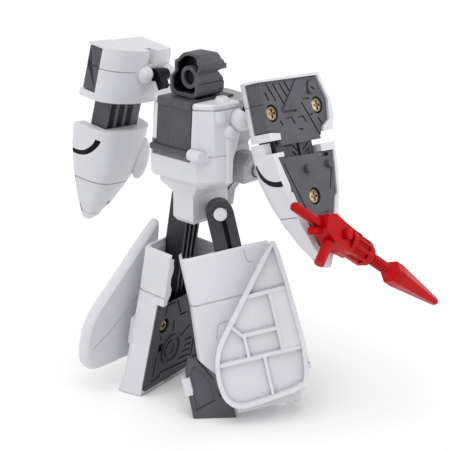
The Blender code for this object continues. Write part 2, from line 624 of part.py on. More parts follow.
def gun():
    """One moulding: stock, body, grip, drum, ribbed barrel and blade, on a peg into the forearm."""
    height = 5.4
    butt = Vector((height, 1.2, -38.4))
    tip = Vector((height, -62.0, -82.2))
    axis = (tip - butt).normalized()
    across = axis.cross(Vector((1.0, 0.0, 0.0))).normalized()

    def on(along, up=0.0, out=0.0):
        return butt + axis * along + across * up + Vector((out, 0.0, 0.0))

    shape = turned(on(0.0), axis, [(0.0, 1.2), (0.4, 1.5), (14.0, 1.6)], 14)
    body_side = [(12.6, 3.0), (16.2, 4.6), (20.5, 3.9), (26.0, 3.5), (29.5, 3.5), (29.5, -3.9),
                 (24.5, -4.4), (18.2, -4.0), (13.0, -2.0)]
    body = loft([[on(a, u, out) for a, u in body_side] for out in (-3.2, 3.2)])
    drum = turned(on(25.2), axis, [(0.0, 4.4), (9.8, 4.4)], 20)
    collar = turned(on(33.7), axis, [(0.0, 3.7), (3.4, 3.5), (3.8, 3.0)], 16)
    ribs = [(0.0, 2.0)]
    for index in range(7):
        ribs += [(1.4 * index + 0.9, 2.0), (1.4 * index + 1.1, 1.65), (1.4 * index + 1.3, 1.65),
                 (1.4 * index + 1.5, 2.0)]
    ribs.append((12.6, 2.0))
    barrel = turned(on(36.5), axis, ribs, 14)
    nose = turned(on(46.5), axis, [(0.0, 2.1), (3.4, 4.0), (7.0, 4.0), (28.6, 1.4), (29.3, 0.9)], 6)
    grip = rod(on(18.2, -2.0, 0.6), on(15.8, -12.2, 0.6), 1.7, 14)
    lug = rod(on(14.0, -1.6), on(9.6, -3.9), 1.3, 12)
    knob = turned(on(22.2, 0.4, 2.6), (1, 0, 0), [(0.0, 1.7), (1.9, 1.7), (2.3, 1.2)], 14)
    peg = rod((GUN_PIN[0] - 3.6, GUN_PIN[1], GUN_PIN[2]), (height - 2.0, GUN_PIN[1], GUN_PIN[2]), 1.6, 14)
    foot = rod((1.0, GUN_PIN[1], GUN_PIN[2]), (height - 1.0, GUN_PIN[1], GUN_PIN[2]), 2.4, 14)
    shape = fuse(shape, body, drum, collar, barrel, nose, grip, lug, knob, foot, peg)
    flutes = []
    for index in range(10):
        angle = math.tau * (index + 0.5) / 10
        spoke = across * math.cos(angle) + Vector((1, 0, 0)) * math.sin(angle)
        if spoke.x > -0.2:
            flutes.append(rod(on(27.2) + spoke * 4.5, on(33.5) + spoke * 4.5, 0.85, 8))
    return cut(shape, *flutes)


def build_arm(side, word, torso):
    limb = Limb(side, ARM_CORNER[side], ARM_POSE[side])
    world = Limb(side, (0.0, 0.0, 0.0), (0.0, 0.0, 0.0))
    shoulder = add_body("shoulder_" + word, world, SHOULDER, torso)
    add_node("shoulder_link_" + word, shoulder_link(limb, side), shoulder, limb, BLACK)
    upper = add_body("upper_arm_" + word, limb, ARM_BARREL, shoulder)
    add_node("upper_arm_shell_" + word, upper_arm_shell(), upper, limb, WHITE)
    add_node("upper_arm_plate_" + word, upper_arm_plate(), upper, limb, GREY)
    for number, spot in enumerate(ARM_SCREWS, 1):
        add_node(f"arm_screw_{number}_{word}", arm_screw(spot), upper, limb, BRASS)
    add_node("elbow_link_" + word, elbow_link(), upper, limb, GREY)
    lower = limb.moved((0.0, 0.0, -FOREARM_OUT[side]))
    forearm = add_body("forearm_" + word, lower, (-5.7, -11.7, -25.0), upper)
    add_node("forearm_shell_" + word, forearm_shell(side == RIGHT), forearm, lower, WHITE)
    add_node("forearm_plate_" + word, forearm_plate(), forearm, lower, GREY)
    add_node("forearm_screw_" + word, arm_screw(FOREARM_SCREW), forearm, lower, BRASS)
    if side == RIGHT:
        hand = add_body("gun", lower, GUN_PIN, forearm)
        add_node("gun", gun(), hand, lower, RED)


# ---------------------------------------------------------------- legs
def hip_pin(reach):
    """White pin through the thigh, with the ball that sits in the pelvis."""
    pin = turned((-4.9, 0.0, 0.0), (1, 0, 0), [(0.0, PIN_RADIUS), (8.4, PIN_RADIUS), (8.9, 1.7)], 18)
    neck = rod((-reach, 0, 0), (-4.6, 0, 0), 1.0, 12)
    return fuse(pin, neck, ball((-reach, 0.0, 0.0), HIP_BALL, 14, 8))


def thigh_strut():
    """Square bar with a round top, a keyhole slot outside and three slots inside."""
    outline = arc((0.0, 0.0), STRUT_ROUND, 0, 180, 10)
    outline += [(-STRUT_ROUND, STRUT_BOTTOM), (STRUT_ROUND, STRUT_BOTTOM)]
    shape = prism(outline, "X", STRUT_IN, STRUT_OUT)
    hole = rod((-9.0, 0, 0), (9.0, 0, 0), PIN_RADIUS + GAP, 18)
    keyhole = box((STRUT_OUT - 1.6, -1.4, -30.0), (9.0, 0.1, -1.0))
    slots = [box((-9.0, y, STRUT_BOTTOM + 3.0), (STRUT_IN + 2.0, y + 1.7, -5.6)) for y in (-3.5, -0.85, 1.8)]
    return cut(shape, hole, keyhole, *slots)


def shin_plan(grow_back, grow_out):
    back = SHIN_BACK + grow_back
    out = SHIN_OUT + grow_out
    return [(SHIN_IN, back), (out - 2.2, back), (out - 0.6, back - 0.8), (out, back - 2.2),
            (out, SHIN_FRONT + 2.0), (out - 1.8, SHIN_FRONT), (SHIN_IN, SHIN_FRONT)]


def slanted(start, end, low, high):
    """A bar's side view, in y and z, that climbs to the back; low and high are its edges at y = 0."""
    return [(start, low + WING_SLOPE * start), (end, low + WING_SLOPE * end),
            (end, high + WING_SLOPE * end), (start, high + WING_SLOPE * start)]


def wing_rail(outer, inner, lip):
    """One of two rails on the calf's outer face, with a lip over the slide's tongue."""
    rise = -WING_SLOPE * SHIN_FRONT
    edges = [sorted((outer + rise, edge + rise)) for edge in (inner, lip)]
    foot = prism(slanted(-12.0, 9.0, *edges[0]), "X", 3.6, 6.2)
    cover = prism(slanted(-12.0, 9.0, *edges[1]), "X", 5.5, 6.2)
    return fuse(foot, cover)


def wing_slide():
    """The short bar that runs between the rails and carries the wing's upright hinge at its front."""
    x, y = WING_HINGE
    rise = -WING_SLOPE * SHIN_FRONT
    bar = prism(slanted(SHIN_FRONT, -2.6, -57.0 + rise, -47.0 + rise), "X", 4.6, 6.0)
    tongue = prism(slanted(-13.9, -2.6, -58.2 + rise, -45.8 + rise), "X", 4.6, 5.2)
    arm = box((4.8, y, -54.6), (6.0, SHIN_FRONT + 0.4, -50.2))
    barrel = rod((x, y, -55.0), (x, y, -49.8), 1.15, 14)
    pin = rod((x, y, -57.0), (x, y, -47.8), 0.6, 12)
    return fuse(bar, tongue, arm, barrel, pin)


def shin_shell(limb, side):
    """White calf: a sleeve for the thigh above the groove, an open shell for the cover below it."""
    levels = [(SHIN_FLOOR, 3.7, 1.2), (-60.5, 3.1, 0.0), (SHIN_GROOVE - 0.3, 0.2, 0.0),
              (SHIN_GROOVE - 0.25, -0.15, -0.35), (SHIN_GROOVE + 0.25, -0.15, -0.35),
              (SHIN_GROOVE + 0.3, 0.2, 0.0), (SHIN_TOP - 0.7, 0.0, 0.0), (SHIN_TOP, -0.7, -0.6)]
    shape = loft([[(x, y, z) for x, y in shin_plan(back, out)] for z, back, out in levels])
    room = STRUT_ROUND + GAP
    bore = box((STRUT_IN - GAP, -room, -56.5), (STRUT_OUT + GAP, room, 0.0))
    mouth = box((-12.0, -room, SHIN_PLATE_TOP - 2.0), (0.0, room, 0.0))
    inner_step = box((-12.0, -20.0, -90.0), (SHIN_IN + 2.5, 40.0, SHIN_PLATE_TOP))
    arch = prism([(6.0, -90.0), (6.0, -64.6), (-3.0, -64.8), (-6.0, -90.0)], "X", -12.0, -1.4)
    y, z = SHIN_SCREW
    well = turned((SHIN_IN + 1.0, y, z), (1, 0, 0), [(0.0, 2.4), (2.2, 2.4), (2.25, 1.4), (3.6, 1.4)], 14)
    shape = cut(shape, bore, mouth, inner_step, arch, well)
    studs = [rod((1.4, y, SHIN_FLOOR - 1.6), (1.4, y, -62.0), 2.2, 14) for y in (-11.6, -5.0)]
    shape = fuse(shape, *studs, wing_rail(-60.2, -58.5, -57.4), wing_rail(-43.8, -45.5, -46.6))
    if side == RIGHT:
        heel_cut = prism([(30.0, -42.0), (18.4, -46.4), (9.6, -57.6), (9.6, -90.0), (30.0, -90.0)],
                         "X", -1.5, 9.0)
        shape = cut(shape, heel_cut)
    return cut(shape, below_floor(limb))


SHIN_PLATE = [(16.5, -31.3), (19.7, -63.4), (-13.4, -62.8), (-13.9, -31.3)]
SHIN_SCREW = (12.9, -40.0)
SHIN_WHEEL = (7.4, -50.6)
SHIN_WINDOW = (13.4, -48.4)


def shin_plate():
    """Grey inner cover: a round wheel in relief, a dark square hole and a screw recess."""
    shape = prism(SHIN_PLATE, "X", SHIN_IN + 1.1, SHIN_IN + 2.2)
    wheel = turned((SHIN_IN + 1.5, *SHIN_WHEEL), (-1, 0, 0), [(0.0, 3.3), (0.9, 3.2), (0.95, 2.5), (0.5, 2.1)], 18)
    shape = fuse(shape, wheel)
    y, z = SHIN_WINDOW
    window = box((SHIN_IN - 2.0, y - 1.2, z - 1.6), (SHIN_IN + 6.0, y + 1.2, z + 1.6))
    hole = rod((SHIN_IN - 2.0, *SHIN_SCREW), (SHIN_IN + 6.0, *SHIN_SCREW), 2.4)
    return cut(shape, window, hole)


WING_OUTLINE = [(-13.4, -11.4), (-15.6, -12.0), (-16.8, -28.0), (-17.6, -47.6), (-16.6, -57.4),
                (-14.6, -62.6), (6.4, -64.8), (10.4, -63.6), (13.2, -60.0), (14.0, -54.0),
                (13.2, -47.0), (10.8, -41.2), (4.6, -33.6)]
WING_SKIN = (7.0, 8.0)
WING_EDGE = 10.3


def rounded(outline):
    """The outline with each corner cut back by a fifth of its sides."""
    points = []
    for index, here in enumerate(outline):
        after = outline[(index + 1) % len(outline)]
        for share in (0.2, 0.8):
            points.append(tuple(a + (b - a) * share for a, b in zip(here, after)))
    return points


def wing():
    """Delta wing: a domed thin skin with a rim and a grid of ribs on its outer, hollow side."""
    levels = ((WING_SKIN[0], -1.4), (WING_SKIN[0] + 0.5, -0.6), (WING_SKIN[0] + 1.4, 0.0), (WING_EDGE, 0.0))
    shape = loft([[(x, y, z) for y, z in rounded(grow(WING_OUTLINE, margin))] for x, margin in levels])
    hollow = prism(rounded(grow(WING_OUTLINE, -1.5)), "X", WING_SKIN[1], WING_EDGE + 3.0)
    pockets = hollow
    thin = 0.5
    bars = [((-20.0, -28.2), (20.0, -26.9)), ((-9.8, -40.8), (2.6, -39.6)), ((-20.0, -49.0), (20.0, -47.8)),
            ((-10.4, -49.0), (-9.2, -26.9)), ((-3.8, -66.0), (-2.8, -47.8)), ((1.2, -48.0), (2.2, -39.6))]
    ribs = [box((5.0, low[0], low[1]), (WING_EDGE - thin, high[0], high[1])) for low, high in bars]
    block = box((5.0, -20.0, -47.9), (WING_EDGE - 0.7, -10.0, -28.1))
    slant = prism([(1.2, -40.9), (2.2, -40.9), (6.6, -35.6), (5.6, -34.8)], "X", 5.0, WING_EDGE - thin)
    pockets = cut(pockets, *ribs)
    pockets = cut(pockets, block, slant)
    shape = cut(shape, pockets)
    x, y = WING_HINGE
    for low in (-57.2, -49.5):
        lug = rod((x, y, low), (x, y, low + 1.9), 1.15, 14)
        web = box((x, y - 1.1, low), (WING_SKIN[0] + 0.4, y + 1.1, low + 1.9))
        shape = fuse(shape, lug, web)
    return cut(shape, rod((x, y, -60.0), (x, y, -44.0), 0.85, 12))


HEEL_FLAP = [(21.6, -45.6), (18.9, -46.6), (14.6, -55.4), (14.3, -61.0), (10.4, -64.4),
             (10.4, -80.0), (24.8, -80.0), (24.4, -59.4), (23.6, -50.4)]


def heel_flap(limb):
    """Grey heel with a raised rim, that swings on an upright pin in the shell's back corner."""
    shape = prism(HEEL_FLAP, "X", -0.8, 2.2)
    field = [(20.6, -48.6), (19.6, -48.8), (16.2, -55.6), (15.9, -62.0), (22.9, -64.0), (22.2, -51.0)]
    recess = prism(field, "X", 1.7, 6.0)
    notch = box((-3.0, 22.4, -58.3), (6.0, 30.0, -51.6))
    shape = cut(shape, recess, notch)
    return cut(shape, below_floor(limb))


def heel_clip():
    """White clip snapped round the heel's free edge."""
    outer = box((-1.6, 22.7, -58.0), (3.0, 25.4, -51.9))
    inside = box((-0.6, 22.0, -56.8), (2.0, 24.3, -53.1))
    return cut(outer, inside)


def build_leg(side, word, torso):
    stride, splay, toe_out = LEG_POSE[side]
    limb = Limb(side, HIP[side], (-stride, splay, toe_out))
    reach = HIP_REACH[side]
    hip = add_body("hip_" + word, limb, (-reach, 0.0, 0.0), torso)
    add_node("hip_pin_" + word, hip_pin(reach), hip, limb, WHITE)
    thigh = add_body("thigh_" + word, limb, (0.0, 0.0, 0.0), hip)
    add_node("thigh_strut_" + word, thigh_strut(), thigh, limb, GREY)
    lower = limb.moved((0.0, 0.0, -SHIN_DOWN[side]))
    shin = add_body("shin_" + word, lower, (0.0, 0.0, SHIN_TOP), thigh)
    add_node("shin_shell_" + word, shin_shell(lower, side), shin, lower, WHITE)
    add_node("shin_plate_" + word, shin_plate(), shin, lower, GREY)
    spot = (SHIN_IN + 1.5, *SHIN_SCREW)
    add_node("shin_screw_" + word, screw(spot, (-1, 0, 0), 2.0, 2.4), shin, lower, BRASS)
    back = WING_BACK[side]
    slid = lower.moved((0.0, back, WING_SLOPE * back))
    slide = add_body("wing_slide_" + word, slid, (*WING_HINGE, -52.0), shin)
    add_node("wing_slide_" + word, wing_slide(), slide, slid, WHITE)
    opened = slid.swung(WING_HINGE, WING_OPEN[side])
    wing_body = add_body("wing_" + word, opened, (*WING_HINGE, -52.0), slide)
    add_node("wing_" + word, wing(), wing_body, opened, WHITE)
    if side == RIGHT:
        heel = add_body("heel_" + word, lower, (*HEEL_HINGE, -64.0), shin)
        add_node("heel_flap_" + word, heel_flap(lower), heel, lower, GREY)
        add_node("heel_clip_" + word, heel_clip(), heel, lower, WHITE)
    return limb


# ---------------------------------------------------------------- the whole kit
def stand_on_origin(root):
    """Move the kit so that the middle of its footprint is the origin."""
    bpy.context.view_layer.update()
    low = Vector((1e9, 1e9, 1e9))
    high = Vector((-1e9, -1e9, -1e9))
    for item in bpy.data.objects:
        if item.type != "MESH":
            continue
        for vert in item.data.vertices:
            place = item.matrix_world @ vert.co
            low = Vector(map(min, low, place))
            high = Vector(map(max, high, place))
    middle = (low + high) / 2
    root.location = (root.location.x - middle.x, root.location.y - middle.y, root.location.z - low.z)
    bpy.context.view_layer.update()


def build():
    clear_scene()
    torso, limb = build_torso()
    legs = [build_leg(side, word, torso) for side, word in ((RIGHT, "right"), (LEFT, "left"))]
    sockets = []
    for leg, reach in zip(legs, (HIP_REACH[RIGHT], HIP_REACH[LEFT])):
        centre = leg.point((-reach, 0.0, 0.0))
        sockets.append(ball(centre, HIP_BALL + GAP, 16, 10))
        sockets.append(rod(centre, leg.point((-reach + 6.0, 0.0, 0.0)), HIP_BALL + 0.1, 12))
    add_node("pelvis", cut(pelvis(), *sockets), torso, limb, WHITE)
    for side, word in ((RIGHT, "right"), (LEFT, "left")):
        build_arm(side, word, torso)
    stand_on_origin(torso)


build()
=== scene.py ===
"""Looks of the transforming robot kit: engraved covers, softened edges, painted and moulded plastics.

Lengths are in millimetres in each limb's own upright frame, as in the CAD source: x outward from
the body, y to the robot's back, z up.
"""
import json
import math

import bmesh
import bpy
from mathutils import Euler, Matrix, Vector

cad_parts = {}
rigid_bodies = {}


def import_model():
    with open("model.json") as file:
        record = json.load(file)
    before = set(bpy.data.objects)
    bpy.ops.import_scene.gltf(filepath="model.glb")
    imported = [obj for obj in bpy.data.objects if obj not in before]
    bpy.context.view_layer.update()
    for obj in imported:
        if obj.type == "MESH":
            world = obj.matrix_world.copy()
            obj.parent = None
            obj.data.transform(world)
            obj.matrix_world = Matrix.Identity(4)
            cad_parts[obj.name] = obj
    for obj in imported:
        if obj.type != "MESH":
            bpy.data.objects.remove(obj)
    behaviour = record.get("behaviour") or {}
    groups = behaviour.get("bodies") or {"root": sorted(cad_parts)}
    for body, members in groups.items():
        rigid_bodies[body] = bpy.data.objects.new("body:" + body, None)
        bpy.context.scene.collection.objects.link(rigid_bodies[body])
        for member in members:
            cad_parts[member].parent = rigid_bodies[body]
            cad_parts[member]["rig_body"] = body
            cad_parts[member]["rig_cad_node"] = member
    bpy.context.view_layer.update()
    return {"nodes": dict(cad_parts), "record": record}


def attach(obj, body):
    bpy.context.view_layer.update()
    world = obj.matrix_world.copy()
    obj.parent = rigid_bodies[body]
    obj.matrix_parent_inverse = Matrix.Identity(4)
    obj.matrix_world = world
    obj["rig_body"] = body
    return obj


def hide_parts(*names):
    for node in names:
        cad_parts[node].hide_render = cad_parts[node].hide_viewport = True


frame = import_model()

MM = 0.001
RIGHT, LEFT = -1, 1
SIDES = (RIGHT, LEFT)
WORDS = {RIGHT: "right", LEFT: "left"}
BEHAVIOUR = frame["record"]["behaviour"]
JOINTS = {joint["name"]: joint for joint in BEHAVIOUR["joints"]}
BODY_OF = {node: body for body, nodes in BEHAVIOUR["bodies"].items() for node in nodes}
# The CAD source moves the whole kit to centre it. The head's joint tells how far.
HEAD_AXIS = Vector((0.0, 0.0, 108.2))
OFFSET = Vector(JOINTS["head_turn"]["pos_m"]) / MM - HEAD_AXIS


# ---------------------------------------------------------------- limb frames, as in the CAD source
class Limb:
    """A limb's own frame, with x outward from the body on either side."""

    def __init__(self, side, matrix):
        self.side = side
        self.matrix = matrix

    def point(self, local):
        return self.matrix @ Vector((self.side * local[0], local[1], local[2]))

    def moved(self, offset):
        shift = Matrix.Translation((self.side * offset[0], offset[1], offset[2]))
        return Limb(self.side, self.matrix @ shift)

    def swung(self, pivot, degrees):
        centre = Vector((self.side * pivot[0], pivot[1], 0.0))
        turn = Matrix.Rotation(math.radians(-self.side * degrees), 4, "Z")
        there, back = Matrix.Translation(centre), Matrix.Translation(-centre)
        return Limb(self.side, self.matrix @ there @ turn @ back)


def limb_at(side, corner, turns):
    """The frame of a limb at a corner, turned by its pitch, splay and twist in degrees."""
    pitch, splay, twist = (math.radians(angle) for angle in turns)
    spin = Euler((pitch, -side * splay, side * twist), "XYZ").to_matrix().to_4x4()
    start = Vector((side * corner[0], corner[1], corner[2])) + OFFSET
    return Limb(side, Matrix.Translation(start) @ spin)


FOREARM_DROP = -6.1
SHIN_DROP = -4.0
WING_SHIFT = 18.2
WING_CLIMB = 0.22
WING_PIN = (5.7, -16.6)
WING_OPEN = 11.0

TORSO = limb_at(LEFT, (0.0, 0.0, 0.0), (0.0, 0.0, 0.0))
ARM = {RIGHT: limb_at(RIGHT, (37.8, 11.6, 118.6), (3.6, 18.0, -4.0)),
       LEFT: limb_at(LEFT, (37.8, 14.2, 120.8), (5.5, 11.0, 8.5))}
FOREARM = {RIGHT: ARM[RIGHT], LEFT: ARM[LEFT].moved((0.0, 0.0, FOREARM_DROP))}
LEG = {RIGHT: limb_at(RIGHT, (11.3, 1.8, 69.3), (-12.5, 7.0, 41.0)),
       LEFT: limb_at(LEFT, (11.7, -5.0, 69.2), (1.0, 8.8, 12.0))}
SHIN = {RIGHT: LEG[RIGHT], LEFT: LEG[LEFT].moved((0.0, 0.0, SHIN_DROP))}
WING = {RIGHT: SHIN[RIGHT],
        LEFT: SHIN[LEFT].moved((0.0, WING_SHIFT, WING_SHIFT * WING_CLIMB)).swung(WING_PIN, WING_OPEN)}


# ---------------------------------------------------------------- shapes, in millimetres
def shape_from(bm):
    bmesh.ops.recalc_face_normals(bm, faces=bm.faces)
    mesh = bpy.data.meshes.new("shape")
    bm.to_mesh(mesh)
    bm.free()
    shape = bpy.data.objects.new("shape", mesh)
    bpy.context.scene.collection.objects.link(shape)
    return shape


def loft(rings):
    """A closed shape through rings that have the same number of points."""
    bm = bmesh.new()
    rows = [[bm.verts.new(point) for point in ring] for ring in rings]
    count = len(rows[0])
    for lower, upper in zip(rows, rows[1:]):
        for index in range(count):
            after = (index + 1) % count
            bm.faces.new((lower[index], lower[after], upper[after], upper[index]))
    bm.faces.new(rows[0])
    bm.faces.new(list(reversed(rows[-1])))
    return shape_from(bm)


def prism(outline, axis, low, high):
    """An outline extruded along X (outline in y, z), Y (x, z) or Z (x, y)."""
    slot = "XYZ".index(axis)

    def ring(level):
        points = []
        for first, second in outline:
            point = [first, second]
            point.insert(slot, level)
            points.append(point)
        return points
    return loft([ring(low), ring(high)])


def box(low, high):
    corners = [(low[1], low[2]), (high[1], low[2]), (high[1], high[2]), (low[1], high[2])]
    return prism(corners, "X", low[0], high[0])


def turned(start, direction, profile, segments):
    """A round shape along a direction, from (distance along, radius) pairs."""
    axis = Vector(direction).normalized()
    spin = axis.to_track_quat("Z", "Y").to_matrix()
    rings = []
    for along, radius in profile:
        ring = []
        for step in range(segments):
            angle = math.tau * step / segments
            flat = Vector((math.cos(angle) * radius, math.sin(angle) * radius, along))
            ring.append(Vector(start) + spin @ flat)
        rings.append(ring)
    return loft(rings)


def rod(start, end, radius, segments):
    reach = Vector(end) - Vector(start)
    return turned(start, reach, [(0.0, radius), (reach.length, radius)], segments)


def ribbon(path, width):
    """The outline of a line of even width through the path's points, with mitred corners."""
    sharpest = 0.4
    points = [Vector(point) for point in path]
    headings = [(after - here).normalized() for here, after in zip(points, points[1:])]
    left, right = [], []
    for here, first, second in zip(points, headings[:1] + headings, headings + headings[-1:]):
        normal = Vector((-first.y - second.y, first.x + second.x)).normalized()
        reach = width / 2 / max(normal.dot(Vector((-first.y, first.x))), sharpest)
        left.append(here + normal * reach)
        right.append(here - normal * reach)
    return [tuple(point) for point in left + list(reversed(right))]


def line(axis, level, path, width, depth, out=0.6):
    """A groove cutter along a path across the axis, from level + out to level - depth.

    A face that looks down the axis takes a negative depth and a negative out.
    """
    ends = (level + out, level - depth)
    return prism(ribbon(path, width), axis, min(ends), max(ends))


def arc(centre, radius, start, end, steps):
    points = []
    for step in range(steps + 1):
        angle = math.radians(start + (end - start) * step / steps)
        points.append((centre[0] + radius * math.cos(angle), centre[1] + radius * math.sin(angle)))
    return points


def place(shape, limb):
    for vert in shape.data.vertices:
        vert.co = limb.point(vert.co)
    if limb.side < 0:
        shape.data.flip_normals()
    return shape


def combine(shape, tools, operation):
    """Cut, join or clip a shape with the tools, which are used up."""
    for tool in tools:
        modifier = shape.modifiers.new("cut", "BOOLEAN")
        modifier.operation = operation
        modifier.solver = "EXACT"
        modifier.object = tool
    bpy.context.view_layer.update()
    graph = bpy.context.evaluated_depsgraph_get()
    mesh = bpy.data.meshes.new_from_object(shape.evaluated_get(graph))
    shape.modifiers.clear()
    shape.data = mesh
    for tool in tools:
        bpy.data.objects.remove(tool)
    return shape


# ---------------------------------------------------------------- materials
MOTTLE_SCALE = 90.0
STREAK_SCALE = (2400.0, 2400.0, 60.0)
SMEAR_SCALE = 260.0
# How far the ambient occlusion behind the painted shade in recesses reaches, in metres.
RECESS_SHADE_REACH = 0.0016
GRAIN_HEIGHT = 0.00004
SCATTER_REACH = 0.0012
# Each finish gives how strongly its recesses are darkened with painted shade.
FINISHES = {
    "white": dict(name="white_moulding", colour=(0.665, 0.67, 0.705), rough=0.38, spread=0.02, grain=0.15,
                  grain_scale=2400.0, recess_shade=0.26, scatter=0.10),
    "grey": dict(name="grey_moulding", colour=(0.079, 0.080, 0.094), rough=0.42, spread=0.14, grain=0.35,
                 grain_scale=2000.0, recess_shade=0.6, gleam=0.40),
    "brushed": dict(name="grey_brushed", colour=(0.066, 0.067, 0.078), rough=0.42, spread=0.10, grain=0.3,
                    grain_scale=2000.0, recess_shade=0.5, streaks=0.16, gleam=0.35),
    "dull": dict(name="grey_dull", colour=(0.040, 0.040, 0.048), rough=0.45, spread=0.16, grain=0.35,
                 grain_scale=2000.0, recess_shade=0.7, gleam=0.30),
    # Black plastic, also used for the black sheets of painted shade in slots and hollows.
    "black": dict(name="black_plastic_and_painted_shade", colour=(0.003, 0.003, 0.004), rough=0.36, spread=0.15, grain=0.2,
                  grain_scale=2200.0, recess_shade=0.3, gleam=0.12),
    "silver": dict(name="silver_spray", colour=(0.38, 0.38, 0.395), rough=0.42, spread=0.08, grain=0.7,
                   grain_scale=5200.0, recess_shade=0.5, metallic=0.25, gleam=0.40),
    "brass": dict(name="worn_brass", colour=(0.37, 0.26, 0.165), rough=0.22, spread=0.25, grain=0.4,
                  grain_scale=1800.0, recess_shade=0.9, metallic=1.0),
    "red": dict(name="red_moulding", colour=(0.44, 0.0012, 0.0030), rough=0.26, spread=0.06, grain=0.1,
                grain_scale=1500.0, recess_shade=0.6, gleam=0.12)}


def new_material(name):
    material = bpy.data.materials.new(name)
    material.use_nodes = True
    tree = material.node_tree
    shader = tree.nodes["Principled BSDF"]
    return material, tree, shader


def add(tree, kind, **values):
    """A new node, with each value set on the input or the property of that name."""
    node = tree.nodes.new(kind)
    for key, value in values.items():
        if key in node.inputs:
            node.inputs[key].default_value = value
        else:
            setattr(node, key, value)
    return node


def noise_of(tree, coords, scale, detail):
    node = add(tree, "ShaderNodeTexNoise", Scale=scale, Detail=detail, Roughness=0.55)
    tree.links.new(coords, node.inputs["Vector"])
    return node


def ramp(tree, source, low, high, at=(0.35, 0.65)):
    node = tree.nodes.new("ShaderNodeValToRGB")
    node.color_ramp.elements[0].position = at[0]
    node.color_ramp.elements[1].position = at[1]
    node.color_ramp.elements[0].color = low
    node.color_ramp.elements[1].color = high
    tree.links.new(source, node.inputs["Fac"])
    return node.outputs["Color"]


def grey4(value):
    return (value, value, value, 1.0)


def tint(colour, factor):
    return (*(min(channel * factor, 1.0) for channel in colour), 1.0)


def multiplied(tree, colour, factor):
    mix = add(tree, "ShaderNodeMix", data_type="RGBA", blend_type="MULTIPLY")
    mix.inputs["Factor"].default_value = 1.0
    tree.links.new(colour, mix.inputs["A"])
    tree.links.new(factor, mix.inputs["B"])
    return mix.outputs["Result"]


def streaked(tree, coords, body, streaks):
    """Fine upright brush marks over a colour."""
    stretched = add(tree, "ShaderNodeMapping")
    stretched.inputs["Scale"].default_value = STREAK_SCALE
    tree.links.new(coords, stretched.inputs["Vector"])
    lines = noise_of(tree, stretched.outputs["Vector"], 1.0, 2.0)
    low, high = grey4(1.0 - streaks), grey4(1.0 + streaks)
    return multiplied(tree, body, ramp(tree, lines.outputs["Fac"], low, high, (0.3, 0.7)))


def shaded_in_recesses(tree, body, recess_shade):
    """Painted shade: the colour darkened in corners and recesses, where ambient occlusion finds shade."""
    hollow = add(tree, "ShaderNodeAmbientOcclusion", samples=6, Distance=RECESS_SHADE_REACH)
    shade = ramp(tree, hollow.outputs["AO"], grey4(1.0 - recess_shade), grey4(1.0), (0.25, 0.85))
    return multiplied(tree, body, shade)


def uneven_gloss(tree, coords, shader, rough):
    smears = noise_of(tree, coords, SMEAR_SCALE, 3.0)
    span = add(tree, "ShaderNodeMapRange")
    span.inputs["To Min"].default_value = rough - 0.06
    span.inputs["To Max"].default_value = rough + 0.08
    tree.links.new(smears.outputs["Fac"], span.inputs["Value"])
    tree.links.new(span.outputs["Result"], shader.inputs["Roughness"])


def fine_grain(tree, coords, shader, grain, grain_scale):
    fine = noise_of(tree, coords, grain_scale, 2.0)
    bump = add(tree, "ShaderNodeBump", Strength=grain, Distance=GRAIN_HEIGHT)
    tree.links.new(fine.outputs["Fac"], bump.inputs["Height"])
    tree.links.new(bump.outputs["Normal"], shader.inputs["Normal"])


def moulded(name, colour, rough, spread, grain, grain_scale, recess_shade, metallic=0.0, streaks=0.0, scatter=0.0,
            gleam=0.5):
    """Moulded plastic, paint or metal: faint mottling, fine grain and painted shade in recesses."""
    material, tree, shader = new_material(name)
    coords = tree.nodes.new("ShaderNodeTexCoord").outputs["Object"]
    broad = noise_of(tree, coords, MOTTLE_SCALE, 4.0)
    body = ramp(tree, broad.outputs["Fac"], tint(colour, 1.0 - spread), tint(colour, 1.0 + spread))
    if streaks:
        body = streaked(tree, coords, body, streaks)
    # Painted shade: the base colour darkened in recesses by ambient occlusion.
    tree.links.new(shaded_in_recesses(tree, body, recess_shade), shader.inputs["Base Color"])
    uneven_gloss(tree, coords, shader, rough)
    fine_grain(tree, coords, shader, grain, grain_scale)
    shader.inputs["Metallic"].default_value = metallic
    shader.inputs["Specular IOR Level"].default_value = gleam
    if scatter:
        shader.inputs["Subsurface Weight"].default_value = scatter
        shader.inputs["Subsurface Radius"].default_value = (1.0, 0.9, 0.8)
        shader.inputs["Subsurface Scale"].default_value = SCATTER_REACH
    return material


MATERIALS = {key: moulded(**finish) for key, finish in FINISHES.items()}


# ---------------------------------------------------------------- pieces
PLATE_EDGE = 0.14
SHELL_EDGE = 0.22
# Edge of the thin black sheets, which are painted shade, or black paint on the forearm's band.
BLACK_SHEET_EDGE = 0.02


def round_edges(piece, edge):
    bevel = piece.modifiers.new("edges", "BEVEL")
    bevel.width = edge * MM
    bevel.segments = 2
    bevel.limit_method = "ANGLE"
    bevel.angle_limit = math.radians(28.0)
    return bevel


def soften(piece, edge, smooth):
    """Flat faces without needless edges, and rounded corners between them."""
    thin = piece.modifiers.new("flat", "DECIMATE")
    thin.decimate_type = "DISSOLVE"
    thin.angle_limit = math.radians(1.2)
    round_edges(piece, edge).miter_outer = "MITER_ARC"
    if smooth:
        piece.modifiers.new("normals", "WEIGHTED_NORMAL").keep_sharp = True
    for face in piece.data.polygons:
        face.use_smooth = smooth


def finish_piece(piece, name, material, edge, smooth=True):
    """Take a shape from millimetres to metres, and give it its name, material and edges."""
    for vert in piece.data.vertices:
        vert.co *= MM
    piece.name = name
    piece.data.name = name
    piece.data.materials.clear()
    piece.data.materials.append(MATERIALS[material])
    for face in piece.data.polygons:
        face.material_index = 0
    soften(piece, edge, smooth)


